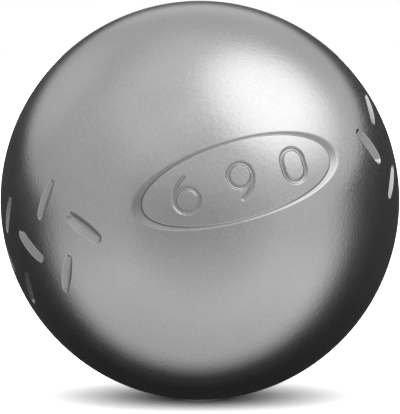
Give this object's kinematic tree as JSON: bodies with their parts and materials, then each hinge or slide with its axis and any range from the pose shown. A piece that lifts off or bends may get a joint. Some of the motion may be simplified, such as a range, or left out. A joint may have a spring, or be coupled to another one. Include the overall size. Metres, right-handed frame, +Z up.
{
  "type": "petanque boule",
  "caption": "Hollow steel ball for petanque, welded from half-shells, with a belt of slanted notches and an oval border round a plain weight number.",
  "frame": {"origin": "centre of the ball", "axes": "+Z up as the ball lies, -Y towards the front half-shell and its oval panel, +X to the right seen from the front"},
  "size_m": [0.074, 0.074, 0.074],
  "materials": {
    "shell_steel": "satin, finely turned",
    "weld_steel": "satin, ground flush"
  },
  "bodies": {
    "root": {"front_half_shell": "shell_steel", "rear_half_shell": "shell_steel", "weld_seam": "weld_steel"}
  },
  "joints": []
}
